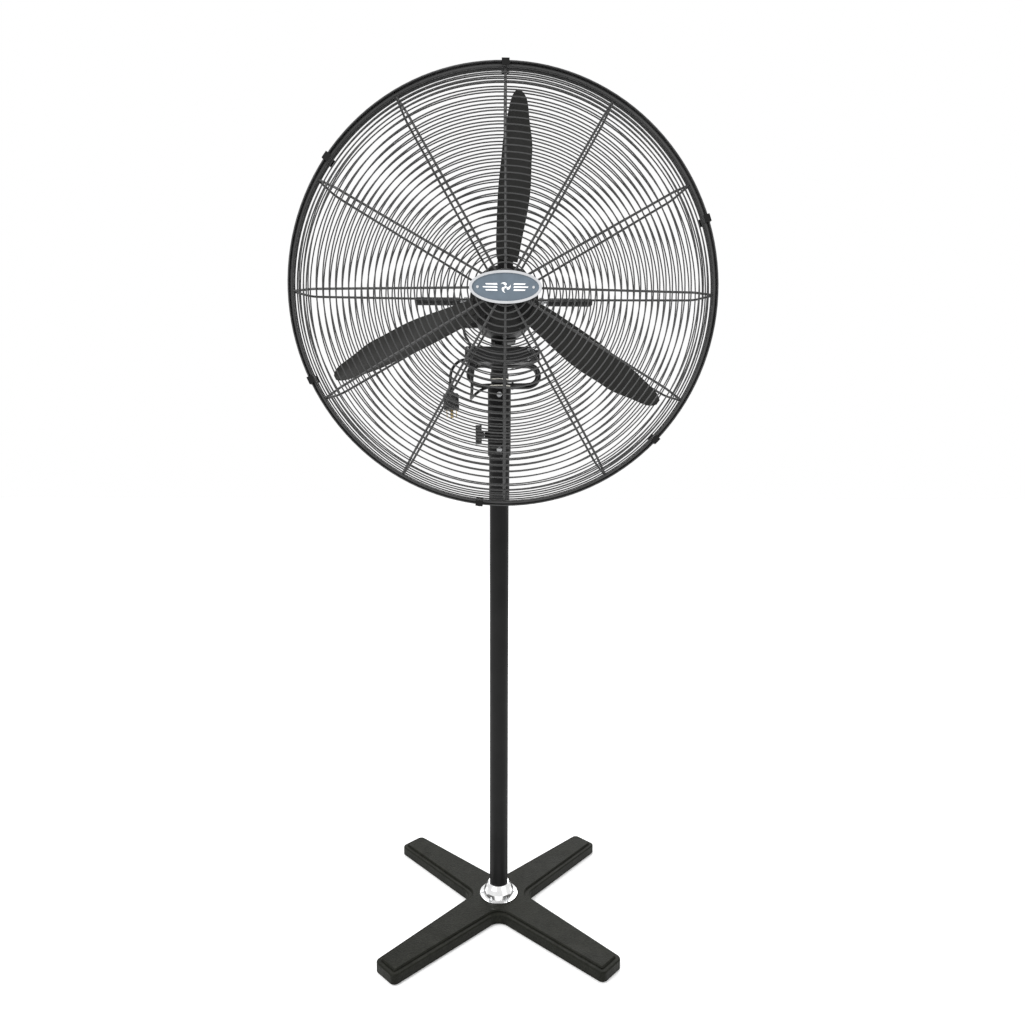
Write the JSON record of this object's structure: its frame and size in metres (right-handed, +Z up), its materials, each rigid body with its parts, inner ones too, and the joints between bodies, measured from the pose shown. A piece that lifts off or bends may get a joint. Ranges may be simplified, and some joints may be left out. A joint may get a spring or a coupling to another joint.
{
  "type": "pedestal fan",
  "caption": "Tall pedestal fan with a cross base, telescopic post, tilting motor head, narrow paddle blades and a round wire guard.",
  "frame": {"origin": "on the floor, on the axis of the post", "axes": "+Z up the post; the fan blows towards -Y, with its head turned half a degree towards +X and nosed down 3 degrees"},
  "size_m": [0.8002, 0.5068, 1.7434],
  "materials": {
    "badge_blue": "slate blue gloss enamel",
    "badge_silver": "bright silver rim",
    "black_plastic": "fine textured moulded plastic",
    "black_steel": "satin black powder coat",
    "blade_metal": "satin charcoal paint on pressed aluminium",
    "brass": "nickel-free brass pins",
    "cable": "black PVC mains cord",
    "capacitor_shell": "aluminium can",
    "cast_alloy": "painted casting",
    "charcoal_steel": "hammered charcoal powder coat",
    "chrome": "bright plated dome",
    "copper": "enamelled copper winding",
    "electrical_steel": "laminated steel stack",
    "guard_wire": "black coated wire, semi-gloss",
    "nylon": "natural nylon",
    "rubber": "matte black rubber",
    "zinc_steel": "zinc plated fasteners"
  },
  "bodies": {
    "base": {"base_cross": "charcoal_steel", "base_flange": "chrome", "flange_screws": "zinc_steel", "foot_pads": "rubber", "centre_bolt": "zinc_steel", "outer_post": "black_steel", "post_plug": "zinc_steel", "clamp_sleeve": "black_steel", "sleeve_bolts": "zinc_steel", "sleeve_liner": "nylon"},
    "height_lock": {"lock_knob": "black_plastic", "lock_screw": "zinc_steel"},
    "mast": {"mast": "black_steel", "mast_foot": "nylon", "pan_washer": "nylon"},
    "neck": {"neck_bracket": "cast_alloy", "tilt_bolt": "zinc_steel", "cord_hook": "black_steel", "switch_box": "black_plastic", "box_cover": "black_plastic", "box_screws": "zinc_steel", "speed_switch": "nylon", "capacitor": "capacitor_shell", "terminal_block": "nylon", "cord_gland": "black_plastic", "strain_relief": "rubber", "power_cord": "cable", "cord_hank": "cable", "cord_tie": "black_plastic", "plug": "rubber", "plug_pins": "brass", "motor_lead": "cable"},
    "speed_dial": {"speed_knob": "black_plastic"},
    "head": {"motor_housing": "black_steel", "motor_front_cover": "cast_alloy", "motor_rear_cover": "cast_alloy", "motor_screws": "zinc_steel", "motor_bearings": "zinc_steel", "stator_core": "electrical_steel", "stator_windings": "copper", "motor_lug": "cast_alloy", "lead_elbow": "black_plastic", "handle_studs": "zinc_steel", "handle_grips": "rubber", "front_guard": "guard_wire", "rear_guard": "guard_wire", "rim_band": "guard_wire", "rim_clips": "black_steel", "rim_screws": "black_steel", "badge_plate": "badge_blue", "badge_frame": "badge_silver", "badge_rivets": "badge_silver"},
    "impeller": {"rotor": "electrical_steel", "motor_shaft": "zinc_steel", "impeller_hub": "black_steel", "blade_1": "blade_metal", "blade_2": "blade_metal", "blade_3": "blade_metal", "blade_rivets": "zinc_steel", "hub_nut": "zinc_steel"}
  },
  "joints": [
    {"name": "height_lock_turn", "type": "hinge", "parent": "base", "child": "height_lock", "pos_m": [-0.045, 0, 1.08], "axis": [-1, 0, 0], "range_deg": [0, 360]},
    {"name": "height_slide", "type": "slide", "parent": "base", "child": "mast", "axis": [0, 0, 1], "range_m": [0, 0.28]},
    {"name": "pan", "type": "hinge", "parent": "mast", "child": "neck", "pos_m": [0, 0, 1.2], "axis": [0, 0, 1], "range_deg": [-45.5, 44.5]},
    {"name": "tilt", "type": "hinge", "parent": "neck", "child": "head", "pos_m": [0, 0, 1.262], "axis": [1, 0.0087, 0], "range_deg": [-30, 10]},
    {"name": "impeller_spin", "type": "hinge", "parent": "head", "child": "impeller", "pos_m": [0.00966, -0.19064, 1.33875], "axis": [0.0087, -0.9986, -0.0516], "continuous": true},
    {"name": "speed_select", "type": "hinge", "parent": "neck", "child": "speed_dial", "pos_m": [0.07437, -0.04235, 1.244], "axis": [1, 0.0087, 0], "range_deg": [0, 120]}
  ]
}
